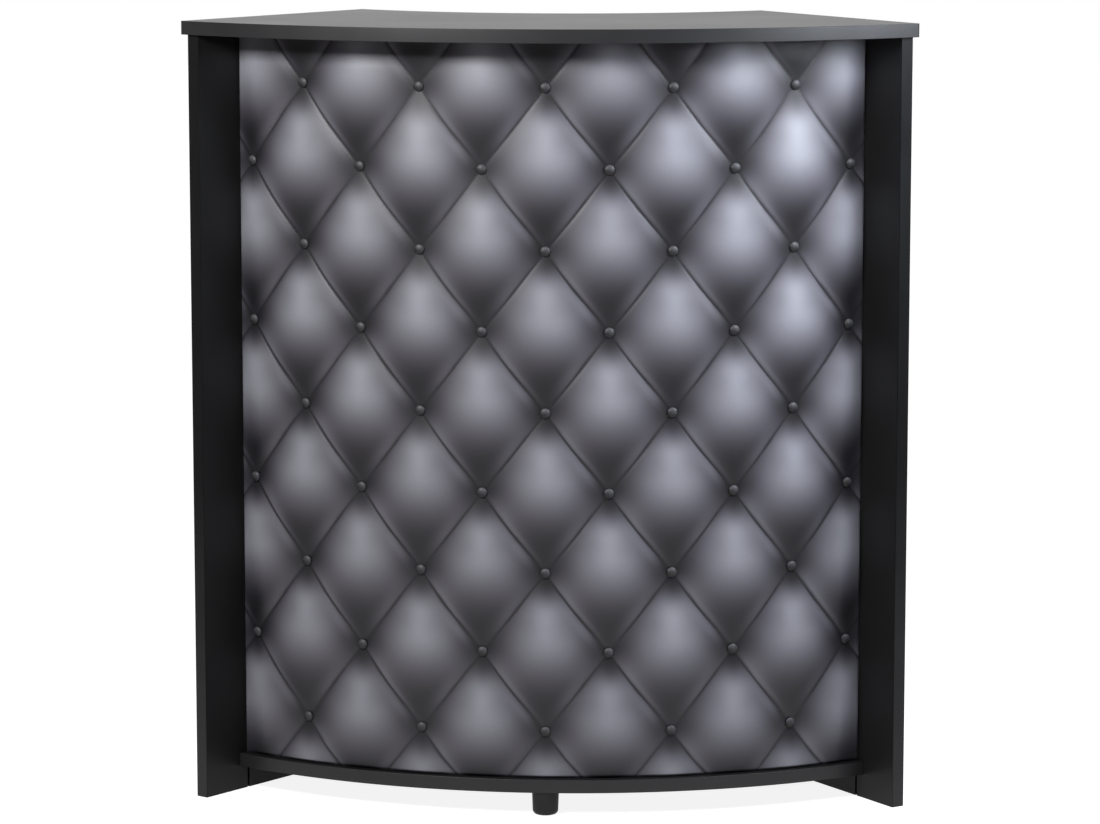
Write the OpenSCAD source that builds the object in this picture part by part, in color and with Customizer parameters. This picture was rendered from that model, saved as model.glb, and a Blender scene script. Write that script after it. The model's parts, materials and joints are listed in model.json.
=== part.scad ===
// Curved bar counter: one segment of a ring, with a tufted front, an open back and two shelves.
// Millimetres. +Z is up, the front faces -Y, and the origin is on the floor under the middle.

/* [Overall] */
// Width across the two front corners of the top
counter_w = 967; // [880:1:1060]
// Height of the upper face of the top above the floor
counter_h = 1045; // [950:1:1150]
// Angle of the ring that one counter fills
ring_angle = 72; // [66:1:78]
// Depth of the top along a radius
top_depth = 356; // [330:1:400]

/* [Boards and edging] */
// Thickness of the coated boards
board_t = 18; // [16:1:22]
// Thickness of the glued edging strips
band_t = 1; // [0.6:0.1:2]
// Setback of each side panel from the end of the top
side_inset = 4; // [2:1:12]
// Setback of the side panels from the front edge of the top
side_front_gap = 8; // [4:1:20]
// Setback of the side panels from the back edge of the top
side_back_gap = 8; // [4:1:16]
// Setback of the bottom board from the front edge of the top
base_setback = 73; // [55:1:90]
// Setback of the shelves and bottom board from the back of the side panels
shelf_recess = 12; // [4:1:30]

/* [Curved front] */
// Thickness of the bent front shell
shell_t = 3; // [2.5:0.1:5]
// Depth of the grooves that hold the shell
groove_d = 5; // [4:0.5:8]
// Play of the shell in its grooves, on each face
groove_play = 0.4; // [0.3:0.1:0.8]
// Ledge that the bottom board shows in front of the tufted skin
ledge_w = 13; // [10:1:25]
// Play between the shelves and the back of the shell
shelf_play = 0.6; // [0.3:0.1:2]

/* [Tufting] */
// Width of one tuft along the curve, button to button
tuft_w = 167; // [130:1:200]
// Height of one tuft, button to button
tuft_h = 213; // [170:1:250]
// Thickness of the skin along its edges and under the buttons
skin_edge_t = 2; // [1.5:0.1:4]
// Height of a tuft's crown above the edge of the skin
crown_h = 10; // [5:0.5:11]
// Height of the middle of a crease above the edge of the skin
crease_h = 2.5; // [0:0.5:4]
// Width of the border over which the crowns die down to the edge
border_w = 10; // [8:1:20]
// Play between the skin and the boards around it
skin_play = 0.4; // [0.3:0.1:1]
// Diameter of a button
button_d = 14; // [10:0.5:18]
// Height of a button's dome
button_h = 3.5; // [2:0.5:5]

/* [Joinery] */
// Diameter of a cam lock
cam_d = 15; // [14:1:18]
// Distance of a cam's axis from the joint face
cam_reach = 24; // [22:1:34]
// Diameter of a cam bolt's shank and head
bolt_d = 7; // [6:0.5:8]
// Length of a cam bolt's thread in the neighbouring board
bolt_thread = 11; // [8:1:13]
// Diameter of a dowel
dowel_d = 8; // [6:1:10]
// Length of a dowel in the board that ends at the joint
dowel_in = 25; // [20:1:30]
// Length of a dowel in the neighbouring board
dowel_out = 10; // [8:1:12]
// Distance of a cam from the end of its joint
joint_margin = 50; // [40:1:60]
// Distance of a dowel from its cam
dowel_offset = 32; // [24:1:32]
// Thickness of a cam's cover cap
cap_t = 1; // [0.8:0.1:2]
// Play of a fastener in its hole, on the diameter
fit_play = 0.2; // [0.1:0.05:0.3]

/* [Foot] */
// Height of the front foot, and of the bottom board above the floor
foot_h = 32; // [28:1:45]
// Diameter of the foot at its top
foot_d = 36; // [30:1:44]
// Diameter of the foot at its sole
sole_d = 34; // [28:1:42]
// Radius of the rounded edge round the sole
sole_round = 6; // [3:0.5:8]
// Diameter of the foot's threaded stud
stud_d = 8; // [6:1:10]
// Thickness of the sole under the stud
sole_t = 5; // [3:0.5:8]
// Thickness of the foot's wall and ribs
foot_wall = 2.5; // [2:0.1:4]
// Number of ribs inside the foot
foot_ribs = 6; // [3:1:8]

/* [Hidden] */
$fn = 96;
past = 1;                                   // how far a cut runs past the face that it opens
board_black = [0.10, 0.10, 0.105];
edging_black = [0.16, 0.16, 0.165];
shell_brown = [0.14, 0.125, 0.115];
skin_grey = [0.33, 0.33, 0.36];

// The plan: arcs about one centre behind the counter, and two radial ends
half_angle = ring_angle / 2;
top_r = counter_w / 2 / sin(half_angle);
top_back_r = top_r - top_depth;
plan_depth = top_r - top_back_r * cos(half_angle);
arc_y = top_r - plan_depth / 2;
side_front = top_r - side_front_gap;        // along the radial end, from the arc centre
side_back = top_back_r + side_back_gap;
inner_off = side_inset + board_t;           // inner face of a side panel, off the radial line
side_h = counter_h - board_t;
base_r = top_r - base_setback;
base_top = foot_h + board_t;
shelf_back_r = side_back + shelf_recess;

// The curved front, from the ledge inwards
skin_r = base_r - ledge_w;                  // front of the skin along its edges
shell_r = skin_r - skin_edge_t;             // front face of the shell
shell_back_r = shell_r - shell_t;
shelf_front_r = shell_back_r - shelf_play;
shell_bottom = base_top - groove_d;
shell_top = side_h + groove_d - groove_play;

// Three equal bays between the bottom board and the top
bays = 3;
bay_h = (side_h - base_top - (bays - 1) * board_t) / bays;
shelf_z = [for (i = [1 : bays - 1]) base_top + i * bay_h + (i - 1) * board_t];
board_levels = concat([foot_h], shelf_z);   // undersides of the boards between the sides

// Joints: two cams with a dowel beside each, at every board end
cam_places = [shelf_back_r + joint_margin, shelf_front_r - joint_margin];
dowel_places = [cam_places[0] + dowel_offset, cam_places[1] - dowel_offset];
cam_wall = 4.5;                             // cam above its bolt's axis
cam_h = board_t / 2 + cam_wall;
cam_cavity_d = bolt_d + 3;
cam_cavity_h = bolt_d + 0.4;
head_play = 0.3;
head_back = sqrt(pow(cam_cavity_d / 2 - head_play, 2) - pow(bolt_d / 2, 2));
head_len = 3;
neck_d = bolt_d * 0.6;
thread_d = bolt_d - 2;
cap_d = cam_d + 3;

// Foot: its stud screws into a blind insert, which stops short of the shell's groove
foot_r = base_r - foot_d / 2 - 1;
foot_y = arc_y - foot_r;
insert_web = 2;
insert_d = stud_d + 4;
insert_h = board_t - groove_d - insert_web;
insert_end_t = 1;
flange_d = insert_d + 6;
flange_t = 1.5;
stud_top = foot_h + insert_h - insert_end_t - fit_play;
boss_d = stud_d + 8;

// Places something in the frame of a radial end: x off the radial line, -y outwards, s = 1 right
module at_end(s) {
    translate([0, arc_y, 0])
        mirror([s < 0 ? 1 : 0, 0, 0])
            rotate([0, 0, half_angle])
                children();
}

// Joint frames: x runs from the joint face into the cam's board, whose drilled face is at -z
module at_board_joint(s, along, z) {
    at_end(s)
        translate([-inner_off, -along, z + board_t / 2])
            rotate([0, 0, 180])
                children();
}

module at_top_joint(s, along) {
    at_end(s)
        translate([-(side_inset + board_t / 2), -along, side_h])
            rotate([0, 90, 0])
                children();
}

module at_all_joints(places) {
    for (s = [-1, 1]) {
        for (along = places) {
            for (z = board_levels) {
                at_board_joint(s, along, z) children();
            }
            at_top_joint(s, along) children();
        }
    }
}

// Plan shapes about the arc centre
module ring_2d(r_out, r_in) {
    difference() {
        circle(r_out);
        circle(r_in);
    }
}

module wedge_2d(off) {
    reach = 2 * top_r;
    apex = -off / sin(half_angle);
    polygon([[0, apex], [-reach * sin(half_angle), apex - reach * cos(half_angle)],
        [reach * sin(half_angle), apex - reach * cos(half_angle)]]);
}

module segment_2d(r_out, r_in, off) {
    intersection() {
        ring_2d(r_out, r_in);
        wedge_2d(off);
    }
}

module segment(r_out, r_in, off, z, h) {
    translate([0, arc_y, z])
        linear_extrude(h)
            segment_2d(r_out, r_in, off);
}

// Holes at a joint, in its own frame
module cam_holes() {
    translate([cam_reach, 0, -board_t / 2 - past])
        cylinder(d = cam_d + fit_play, h = cam_h + fit_play + past);
    rotate([0, 90, 0])
        translate([0, 0, -past])
            cylinder(d = bolt_d + 1, h = cam_reach + past);
}

module thread_hole() {
    rotate([0, -90, 0])
        translate([0, 0, -past])
            cylinder(d = thread_d + fit_play, h = bolt_thread + fit_play + past);
}

module dowel_hole() {
    translate([-dowel_out - fit_play, 0, 0])
        rotate([0, 90, 0])
            cylinder(d = dowel_d + fit_play, h = dowel_out + dowel_in + 2 * fit_play);
}

module shell_groove(off, z, h) {
    segment(shell_r + groove_play, shell_back_r - groove_play, off, z, h);
}

module top_board() {
    color(board_black)
        difference() {
            segment(top_r - band_t, top_back_r + band_t, band_t, side_h, board_t);
            shell_groove(inner_off - groove_d, side_h - past, groove_d + past);
            for (s = [-1, 1]) {
                for (along = cam_places) at_top_joint(s, along) thread_hole();
                for (along = dowel_places) at_top_joint(s, along) dowel_hole();
            }
        }
}

module top_long_bands() {
    color(edging_black) {
        segment(top_r, top_r - band_t, band_t, side_h, board_t);
        segment(top_back_r + band_t, top_back_r, band_t, side_h, board_t);
    }
}

module top_end_bands() {
    color(edging_black)
        difference() {
            segment(top_r, top_back_r, 0, side_h, board_t);
            translate([0, arc_y, side_h - past])
                linear_extrude(board_t + 2 * past)
                    wedge_2d(band_t);
        }
}

module side_panel(s) {
    groove_along = sqrt(pow((shell_r + shell_back_r) / 2, 2) - pow(inner_off - groove_d / 2, 2));
    groove_w = shell_t + 2 * groove_play;
    color(board_black)
        difference() {
            at_end(s)
                translate([-inner_off, -side_front + band_t, 0])
                    cube([board_t, side_front - side_back - 2 * band_t, side_h]);
            at_end(s)
                translate([-inner_off - past, -groove_along - groove_w / 2, -past])
                    cube([groove_d + past, groove_w, side_h + 2 * past]);
            for (along = cam_places) {
                for (z = board_levels) at_board_joint(s, along, z) thread_hole();
                at_top_joint(s, along) cam_holes();
            }
            for (along = dowel_places) {
                for (z = board_levels) at_board_joint(s, along, z) dowel_hole();
                at_top_joint(s, along) dowel_hole();
            }
        }
}

module side_bands(s) {
    color(edging_black)
        at_end(s)
            for (y = [-side_front, -side_back - band_t])
                translate([-inner_off, y, 0])
                    cube([board_t, band_t, side_h]);
}

module board_end_holes(z) {
    for (s = [-1, 1]) {
        for (along = cam_places) at_board_joint(s, along, z) cam_holes();
        for (along = dowel_places) at_board_joint(s, along, z) dowel_hole();
    }
}

module bottom_board() {
    color(board_black)
        difference() {
            segment(base_r - band_t, shelf_back_r + band_t, inner_off, foot_h, board_t);
            shell_groove(inner_off - past, base_top - groove_d, groove_d + past);
            board_end_holes(foot_h);
            translate([0, foot_y, foot_h - past]) {
                cylinder(d = insert_d + fit_play, h = insert_h + fit_play + past);
                cylinder(d = flange_d + fit_play, h = flange_t + past);
            }
        }
}

module bottom_bands() {
    color(edging_black) {
        segment(base_r, base_r - band_t, inner_off, foot_h, board_t);
        segment(shelf_back_r + band_t, shelf_back_r, inner_off, foot_h, board_t);
    }
}

module shelf(z) {
    color(board_black)
        difference() {
            segment(shelf_front_r, shelf_back_r + band_t, inner_off, z, board_t);
            board_end_holes(z);
        }
}

module shelf_band(z) {
    color(edging_black)
        segment(shelf_back_r + band_t, shelf_back_r, inner_off, z, board_t);
}

module front_shell() {
    color(shell_brown)
        segment(shell_r, shell_back_r, inner_off - groove_d + groove_play, shell_bottom,
            shell_top - shell_bottom);
}

// Tufting: buttons lie where both lattice numbers are whole, creases where one of them is
skin_bottom = base_top + skin_play;
skin_top = side_h - skin_play;
skin_mid = (skin_bottom + skin_top) / 2;
skin_half_h = (skin_top - skin_bottom) / 2;
end_angle = half_angle - asin((inner_off + skin_play) / shell_r);
skin_half_w = end_angle * PI / 180 * skin_r;
cell_steps = 6;                             // grid steps from button to button
col_step = tuft_w / cell_steps;
row_step = tuft_h / cell_steps;
sliver = 4;                                 // grid lines are kept this far from the border
col_reach = floor((skin_half_w - border_w - sliver) / col_step);
row_reach = floor((skin_half_h - border_w - sliver) / row_step);
cols = concat([-skin_half_w, border_w - skin_half_w], [for (i = [-col_reach : col_reach]) i * col_step],
    [skin_half_w - border_w, skin_half_w]);
rows = concat([-skin_half_h, border_w - skin_half_h], [for (i = [-row_reach : row_reach]) i * row_step],
    [skin_half_h - border_w, skin_half_h]);
n_cols = len(cols);
n_rows = len(rows);

function lattice_a(u, w) = u / tuft_w + w / tuft_h;
function lattice_b(u, w) = u / tuft_w - w / tuft_h;
function off_whole(x) = abs(x - round(x));
function crown(a, b) = pow(a * b, 0.55) * (crown_h - crease_h) + crease_h * sqrt((a * a + b * b) / 2);
function skin_height(u, w) =
    max(abs(u) - skin_half_w, abs(w) - skin_half_h) > -border_w / 2 ? 0
    : crown(abs(sin(180 * lattice_a(u, w))), abs(sin(180 * lattice_b(u, w))));
function on_curve(u, r, w) =
    let (angle = u / skin_r * 180 / PI) [r * sin(angle), arc_y - r * cos(angle), skin_mid + w];

// Corners on the back lie a little outside the shell, so that the flats between them clear it
seat_gap = 0.2;
widest_col = max([for (i = [1 : n_cols - 1]) cols[i] - cols[i - 1]]);
skin_back_r = (shell_r + seat_gap) / cos(widest_col / skin_r * 90 / PI);

// Front corners row by row, then the back's lower and upper rows
skin_points = concat(
    [for (w = rows) for (u = cols) on_curve(u, skin_r + skin_height(u, w), w)],
    [for (u = cols) on_curve(u, skin_back_r, -skin_half_h)],
    [for (u = cols) on_curve(u, skin_back_r, skin_half_h)]);

function front_at(i, j) = j * n_cols + i;
function back_at(i, j) = (n_rows + j) * n_cols + i;
function falls_right(i, j) =                // the crease nearest this cell runs down to the right
    let (u = (cols[i] + cols[i + 1]) / 2, w = (rows[j] + rows[j + 1]) / 2)
    off_whole(lattice_a(u, w)) < off_whole(lattice_b(u, w));
function cell_faces(p00, p10, p11, p01, falls) =
    falls ? [[p00, p01, p10], [p10, p01, p11]] : [[p00, p11, p10], [p00, p01, p11]];

skin_faces = concat(
    [for (j = [0 : n_rows - 2]) for (i = [0 : n_cols - 2]) each cell_faces(front_at(i, j),
        front_at(i + 1, j), front_at(i + 1, j + 1), front_at(i, j + 1), falls_right(i, j))],
    [for (i = [0 : n_cols - 2]) each cell_faces(back_at(i + 1, 0), back_at(i, 0), back_at(i, 1),
        back_at(i + 1, 1), false)],
    [for (i = [0 : n_cols - 2]) each cell_faces(back_at(i, 0), back_at(i + 1, 0), front_at(i + 1, 0),
        front_at(i, 0), false)],
    [for (i = [0 : n_cols - 2]) each cell_faces(front_at(i, n_rows - 1), front_at(i + 1, n_rows - 1),
        back_at(i + 1, 1), back_at(i, 1), false)],
    [[back_at(0, 0), back_at(0, 1), front_at(0, n_rows - 1)]],
    [for (j = [0 : n_rows - 2]) [back_at(0, 0), front_at(0, j + 1), front_at(0, j)]],
    [[back_at(n_cols - 1, 0), front_at(n_cols - 1, n_rows - 1), back_at(n_cols - 1, 1)]],
    [for (j = [0 : n_rows - 2]) [back_at(n_cols - 1, 0), front_at(n_cols - 1, j),
        front_at(n_cols - 1, j + 1)]]);

module tufted_skin() {
    color(skin_grey)
        polyhedron(skin_points, skin_faces);
}

// Buttons: every lattice point that leaves room for the whole button inside the border
button_margin = button_d / 2 + 2;
max_col = ceil(2 * skin_half_w / tuft_w);
max_row = ceil(2 * skin_half_h / tuft_h);
button_places = [for (j = [-max_row : max_row]) for (i = [-max_col : max_col])
    if ((i + j) % 2 == 0 && abs(i) * tuft_w / 2 < skin_half_w - button_margin
        && abs(j) * tuft_h / 2 < skin_half_h - button_margin) [i * tuft_w / 2, j * tuft_h / 2]];

// A button's flat back rests on the slopes of the skin round it
button_r = button_d / 2;
button_seat = button_r * skin_height(col_step, 0) / col_step + seat_gap;
dome_r = (button_r * button_r + button_h * button_h) / (2 * button_h);

module button() {
    translate([0, 0, button_seat])
        intersection() {
            translate([0, 0, button_h - dome_r])
                sphere(dome_r);
            cylinder(d = button_d + past, h = button_h + past);
        }
}

module tuft_buttons() {
    color("dimgray")
        for (place = button_places)
            translate([0, arc_y, skin_mid + place[1]])
                rotate([0, 0, place[0] / skin_r * 180 / PI])
                    translate([0, -skin_r, 0])
                        rotate([90, 0, 0])
                            button();
}

// A cam's drum: a cavity for the bolt's head, a track for its neck and a wide way in
module cam_lock() {
    track_start = 145;
    track_angle = 125;
    cross_w = 1.6;
    cross_l = cam_d * 0.55;
    cross_deep = 2;
    translate([cam_reach, 0, 0])
        difference() {
            translate([0, 0, -board_t / 2])
                cylinder(d = cam_d, h = cam_h);
            translate([0, 0, -cam_cavity_h / 2])
                cylinder(d = cam_cavity_d, h = cam_cavity_h);
            rotate([0, 0, track_start])
                rotate_extrude(angle = track_angle)
                    translate([cam_cavity_d / 2 - past, -neck_d / 2 - head_play])
                        square([cam_d / 2, neck_d + 2 * head_play]);
            rotate([0, 0, track_start + track_angle])
                rotate([0, 90, 0])
                    cylinder(d = bolt_d + 2 * head_play, h = cam_d);
            for (turn = [0, 90])
                rotate([0, 0, turn])
                    translate([-cross_l / 2, -cross_w / 2, -board_t / 2 - past])
                        cube([cross_l, cross_w, cross_deep + past]);
        }
}

module cam_bolt() {
    shank_end = cam_reach - cam_d / 2 - 0.5;
    head_start = cam_reach - head_back;
    rotate([0, 90, 0]) {
        translate([0, 0, -bolt_thread])
            cylinder(d = thread_d, h = bolt_thread);
        cylinder(d = bolt_d, h = shank_end);
        cylinder(d = neck_d, h = head_start + head_len / 2);
        translate([0, 0, head_start])
            cylinder(d = bolt_d, h = head_len);
    }
}

module cam_cap() {
    translate([cam_reach, 0, -board_t / 2 - cap_t])
        cylinder(d1 = cap_d - cap_t, d2 = cap_d, h = cap_t);
}

module dowel() {
    chamfer = 0.8;
    length = dowel_in + dowel_out;
    r = dowel_d / 2;
    translate([-dowel_out, 0, 0])
        rotate([0, 90, 0])
            rotate_extrude()
                polygon([[0, 0], [r - chamfer, 0], [r, chamfer], [r, length - chamfer],
                    [r - chamfer, length], [0, length]]);
}

module cam_locks() {
    color("silver") at_all_joints(cam_places) cam_lock();
}

module cam_bolts() {
    color("gainsboro") at_all_joints(cam_places) cam_bolt();
}

module cam_caps() {
    color(board_black) at_all_joints(cam_places) cam_cap();
}

module dowels() {
    color("burlywood") at_all_joints(dowel_places) dowel();
}

module foot_insert() {
    color("goldenrod")
        translate([0, foot_y, foot_h])
            difference() {
                union() {
                    cylinder(d = insert_d, h = insert_h);
                    cylinder(d = flange_d, h = flange_t);
                }
                translate([0, 0, -past])
                    cylinder(d = stud_d + fit_play, h = insert_h - insert_end_t + past);
            }
}

module foot_stud() {
    chamfer = 1;
    color("silver")
        translate([0, foot_y, 0])
            rotate_extrude()
                polygon([[0, sole_t], [stud_d / 2, sole_t], [stud_d / 2, stud_top - chamfer],
                    [stud_d / 2 - chamfer, stud_top], [0, stud_top]]);
}

// The foot is a moulded cup with a closed sole, a boss for the stud and ribs up to the board
module foot_outline() {
    sole_r = sole_d / 2;
    translate([0, sole_round])
        polygon([[0, 0], [sole_r, 0], [foot_d / 2, foot_h - sole_round], [0, foot_h - sole_round]]);
    intersection() {
        translate([sole_r - sole_round, sole_round])
            circle(sole_round);
        square(foot_d);
    }
    square([sole_r - sole_round, sole_round + past]);
}

module foot_hollow() {
    difference() {
        rotate_extrude()
            polygon([[boss_d / 2, sole_round], [sole_d / 2 - foot_wall, sole_round],
                [foot_d / 2 - foot_wall, foot_h + past], [boss_d / 2, foot_h + past]]);
        for (i = [0 : foot_ribs - 1])
            rotate([0, 0, i * 360 / foot_ribs])
                translate([0, -foot_wall / 2, 0])
                    cube([foot_d, foot_wall, foot_h + 2 * past]);
    }
}

module foot_body() {
    color([0.09, 0.09, 0.09])
        translate([0, foot_y, 0])
            difference() {
                rotate_extrude() foot_outline();
                foot_hollow();
                translate([0, 0, sole_t])
                    cylinder(d = stud_d + fit_play, h = foot_h);
            }
}

top_board();
top_long_bands();
top_end_bands();
side_panel(-1);  // left_side_panel
side_panel(1);  // right_side_panel
side_bands(-1);  // left_side_bands
side_bands(1);  // right_side_bands
bottom_board();
bottom_bands();
shelf(shelf_z[0]);  // lower_shelf
shelf(shelf_z[1]);  // upper_shelf
shelf_band(shelf_z[0]);  // lower_shelf_band
shelf_band(shelf_z[1]);  // upper_shelf_band
front_shell();
tufted_skin();
tuft_buttons();
cam_locks();
cam_bolts();
cam_caps();
dowels();
foot_insert();
foot_stud();
foot_body();
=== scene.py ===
# %% [markdown]
# # A curved bar counter with a tufted front
# The construction comes ready made: coated boards on an arc-shaped plan, a bent shell held in
# grooves, a padded skin and one front foot. This lesson dresses it, piece by piece, so that each
# surface looks like the finish it has on the real counter. Nothing that is loaded is moved.

# %% Load the built counter
import json
import math

import bmesh
import bpy
import numpy as np
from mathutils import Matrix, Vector


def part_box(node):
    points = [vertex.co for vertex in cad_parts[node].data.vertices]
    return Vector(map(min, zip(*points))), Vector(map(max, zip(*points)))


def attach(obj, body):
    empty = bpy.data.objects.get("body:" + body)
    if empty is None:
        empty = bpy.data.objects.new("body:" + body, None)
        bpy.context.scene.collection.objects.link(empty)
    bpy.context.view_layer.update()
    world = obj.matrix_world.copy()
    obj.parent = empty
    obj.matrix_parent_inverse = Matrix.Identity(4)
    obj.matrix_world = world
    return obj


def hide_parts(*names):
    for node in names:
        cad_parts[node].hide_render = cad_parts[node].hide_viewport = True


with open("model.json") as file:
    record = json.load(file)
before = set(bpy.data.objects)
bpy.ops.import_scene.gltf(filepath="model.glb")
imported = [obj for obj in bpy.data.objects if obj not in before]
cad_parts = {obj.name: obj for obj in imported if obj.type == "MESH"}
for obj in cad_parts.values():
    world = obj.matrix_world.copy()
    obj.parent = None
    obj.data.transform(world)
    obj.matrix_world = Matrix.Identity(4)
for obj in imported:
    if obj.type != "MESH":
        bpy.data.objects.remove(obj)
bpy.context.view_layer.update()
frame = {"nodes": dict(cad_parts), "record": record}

# %% [markdown]
# ## The plan
# Everything in the front follows arcs about one centre behind the counter. Radii typed in here would
# fit one counter only, so the boxes of the loaded pieces give that centre and every radius. Only the
# few sizes that a box can't show are written out: the ledge is how far the bottom board stands out
# past the skin, and the inset is how far the sides stand in from the ends of the top. So the padded
# front lands exactly on its shell.

# %% Sizes that a box can't show
MM = 0.001
RING_ANGLE = math.radians(72)
LEDGE = 13 * MM
SKIN_EDGE = 2 * MM
SKIN_PLAY = 0.4 * MM
BOARD = 18 * MM
SIDE_INSET = 4 * MM
print(f"boards of {BOARD / MM:.0f} mm on a ring of {math.degrees(RING_ANGLE):.0f} degrees")

# %% Work out the arcs from the loaded pieces
top_low, top_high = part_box("top_end_bands")
front_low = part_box("top_long_bands")[0]
base_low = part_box("bottom_bands")[0]
skin_low, skin_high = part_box("tufted_skin")

TOP_R = (top_high.x - top_low.x) / 2 / math.sin(RING_ANGLE / 2)
ARC_Y = front_low.y + TOP_R
BASE_R = ARC_Y - base_low.y
SKIN_R = BASE_R - LEDGE
SHELL_R = SKIN_R - SKIN_EDGE
SKIN_END = RING_ANGLE / 2 - math.asin((SIDE_INSET + BOARD + SKIN_PLAY) / SHELL_R)
SKIN_HALF_W = SKIN_END * SKIN_R
SKIN_HALF_H = (skin_high.z - skin_low.z) / 2
SKIN_MID_Z = (skin_high.z + skin_low.z) / 2
print(f"arc centre {ARC_Y:.4f} m behind the middle, skin radius {SKIN_R:.4f} m,",
      f"{2 * SKIN_HALF_W:.3f} by {2 * SKIN_HALF_H:.3f} m along the curve")

# %% [markdown]
# ## Into the scene
# Blender keeps the data of a mesh, a lamp or a camera apart from the object that gives it a place.
# Whatever is made here needs both, and a link to the scene. One helper does that for all of them.

# %% Put something into the scene
def put_in_scene(name, data):
    """A new object that carries the data, linked to the scene."""
    thing = bpy.data.objects.new(name, data)
    bpy.context.scene.collection.objects.link(thing)
    return thing


# %% [markdown]
# ## The camera
# A product photograph of a tall piece is taken from far away with a long lens, which keeps its sides
# almost upright. The place and angle here were found by matching the corners of the outline. The
# lens isn't shifted, so the same camera also serves for a walk round the counter.

# %% Aim the camera
CAMERA_PLACE = Vector((0.330, -5.600, 1.374))
CAMERA_YAW = math.radians(-3.39)
CAMERA_PITCH = math.radians(8.66)
CAMERA_REACH = 100
FRAME_WIDTH_PX = 1100
FOCAL_PX = 4232
SENSOR = 36.0


def aim_camera():
    data = bpy.data.cameras.new("camera")
    data.sensor_width = SENSOR
    data.lens = FOCAL_PX / FRAME_WIDTH_PX * SENSOR
    data.clip_end = CAMERA_REACH
    camera = put_in_scene("camera", data)
    camera.location = CAMERA_PLACE
    camera.rotation_euler = (math.pi / 2 - CAMERA_PITCH, 0, -CAMERA_YAW)
    bpy.context.scene.camera = camera
    return camera


camera = aim_camera()
print(f"lens {camera.data.lens:.0f} mm, {CAMERA_PLACE.length:.2f} m from the floor under the counter")

# %% [markdown]
# ## Building a finish from nodes
# A finish is a small graph: colour, roughness and relief, each driven by a pattern at the size it has
# on the real surface. Writing such a graph by hand is long, so a few helpers keep it readable. The
# first ones start a material, add a node with its inputs, and do one piece of arithmetic.

# %% Start a finish and add nodes to it
def new_finish(name, roughness, colour, specular=0.5):
    """A material with one Principled shader, and that shader."""
    material = bpy.data.materials.new(name)
    material.use_nodes = True
    shader = material.node_tree.nodes["Principled BSDF"]
    shader.inputs["Base Color"].default_value = (*colour, 1)
    shader.inputs["Roughness"].default_value = roughness
    shader.inputs["Specular IOR Level"].default_value = specular
    return material, shader


def feed(tree, socket, value):
    """Links a socket, or sets a plain number or colour."""
    if isinstance(value, bpy.types.NodeSocket):
        tree.links.new(value, socket)
    else:
        socket.default_value = value


def add(tree, kind, outlet=0, settings=None, **inputs):
    """A node with its named inputs linked or set; returns one of its outputs."""
    node = tree.nodes.new(kind)
    for key, value in (settings or {}).items():
        setattr(node, key, value)
    for key, value in inputs.items():
        feed(tree, node.inputs[key.replace("_", " ")], value)
    return node.outputs[outlet]


def calc(tree, operation, *values):
    """One Math node."""
    node = tree.nodes.new("ShaderNodeMath")
    node.operation = operation
    for socket, value in zip(node.inputs, values):
        feed(tree, socket, value)
    return node.outputs[0]


print("helpers:", ", ".join(helper.__name__ for helper in (new_finish, feed, add, calc)))

# %% [markdown]
# Patterns need a place to be laid out in. Each point's own place on the object, in metres, is the
# right one here, because then a grain has its real size on every board. A noise mostly stays between
# 0.3 and 0.7, so it is stretched from there to the two looks it should sway between.

# %% Places, patterns and relief
USUAL_NOISE = (0.3, 0.7)
STRONG_NOISE = (0.35, 0.65)
CALM_NOISE = (0.25, 0.75)


def place_of(tree):
    """A point's place on the object, in metres."""
    return add(tree, "ShaderNodeTexCoord", outlet="Object")


def xyz_of(tree, vector):
    """The three numbers of a vector."""
    node = tree.nodes.new("ShaderNodeSeparateXYZ")
    feed(tree, node.inputs[0], vector)
    return node.outputs


def noise(tree, place, per_m, detail):
    """A noise pattern with so many waves to the metre."""
    return add(tree, "ShaderNodeTexNoise", Vector=place, Scale=per_m, Detail=detail)


def spread(tree, value, low, high, new_low, new_high):
    """A value moved from one range to another, held at its ends."""
    return add(tree, "ShaderNodeMapRange", Value=value, From_Min=low, From_Max=high,
               To_Min=new_low, To_Max=new_high)


def sway(tree, pattern, low, high, usual=USUAL_NOISE):
    """A noise stretched from where it mostly stays to between two looks."""
    return spread(tree, pattern, *usual, low, high)


def relief(tree, shader, height, depth, strength):
    """Bump of a real depth in metres, on top of the shader's normal."""
    normal = add(tree, "ShaderNodeBump", Strength=strength, Distance=depth, Height=height)
    feed(tree, shader.inputs["Normal"], normal)


print(f"a noise is stretched from {USUAL_NOISE}, a strong one from {STRONG_NOISE}")

# %% [markdown]
# Colours are blended with the Mix node. It has sockets for numbers, vectors and colours, and only
# their order tells them apart, so the ones for colours get names here.

# %% Blend two colours
MIX_FACTOR = 0
MIX_FROM = 6
MIX_TO = 7
MIX_RESULT = 2
BLACK = (0, 0, 0, 1)
WHITE = (1, 1, 1, 1)


def blend_colours(tree, factor, low, high):
    """A colour between two, by a factor from 0 to 1."""
    node = tree.nodes.new("ShaderNodeMix")
    node.data_type = "RGBA"
    feed(tree, node.inputs[MIX_FACTOR], factor)
    feed(tree, node.inputs[MIX_FROM], low)
    feed(tree, node.inputs[MIX_TO], high)
    return node.outputs[MIX_RESULT]


def times(colour, share):
    """A colour made darker or lighter, ready for a socket."""
    return (*(channel * share for channel in colour), 1)


print("white at half its strength:", times(WHITE[:3], 0.5))

# %% [markdown]
# ## Coated chipboard
# The boards are chipboard under a black melamine film. The film has a fine pressed grain, like
# orange peel at two thirds of a millimetre, and years of wiping leave it very slightly uneven in
# gloss. A noise for the grain and a wide faint one for the gloss are enough. The wide one also moves
# the colour by a hair, because a flat black reads as a hole in the picture.

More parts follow.
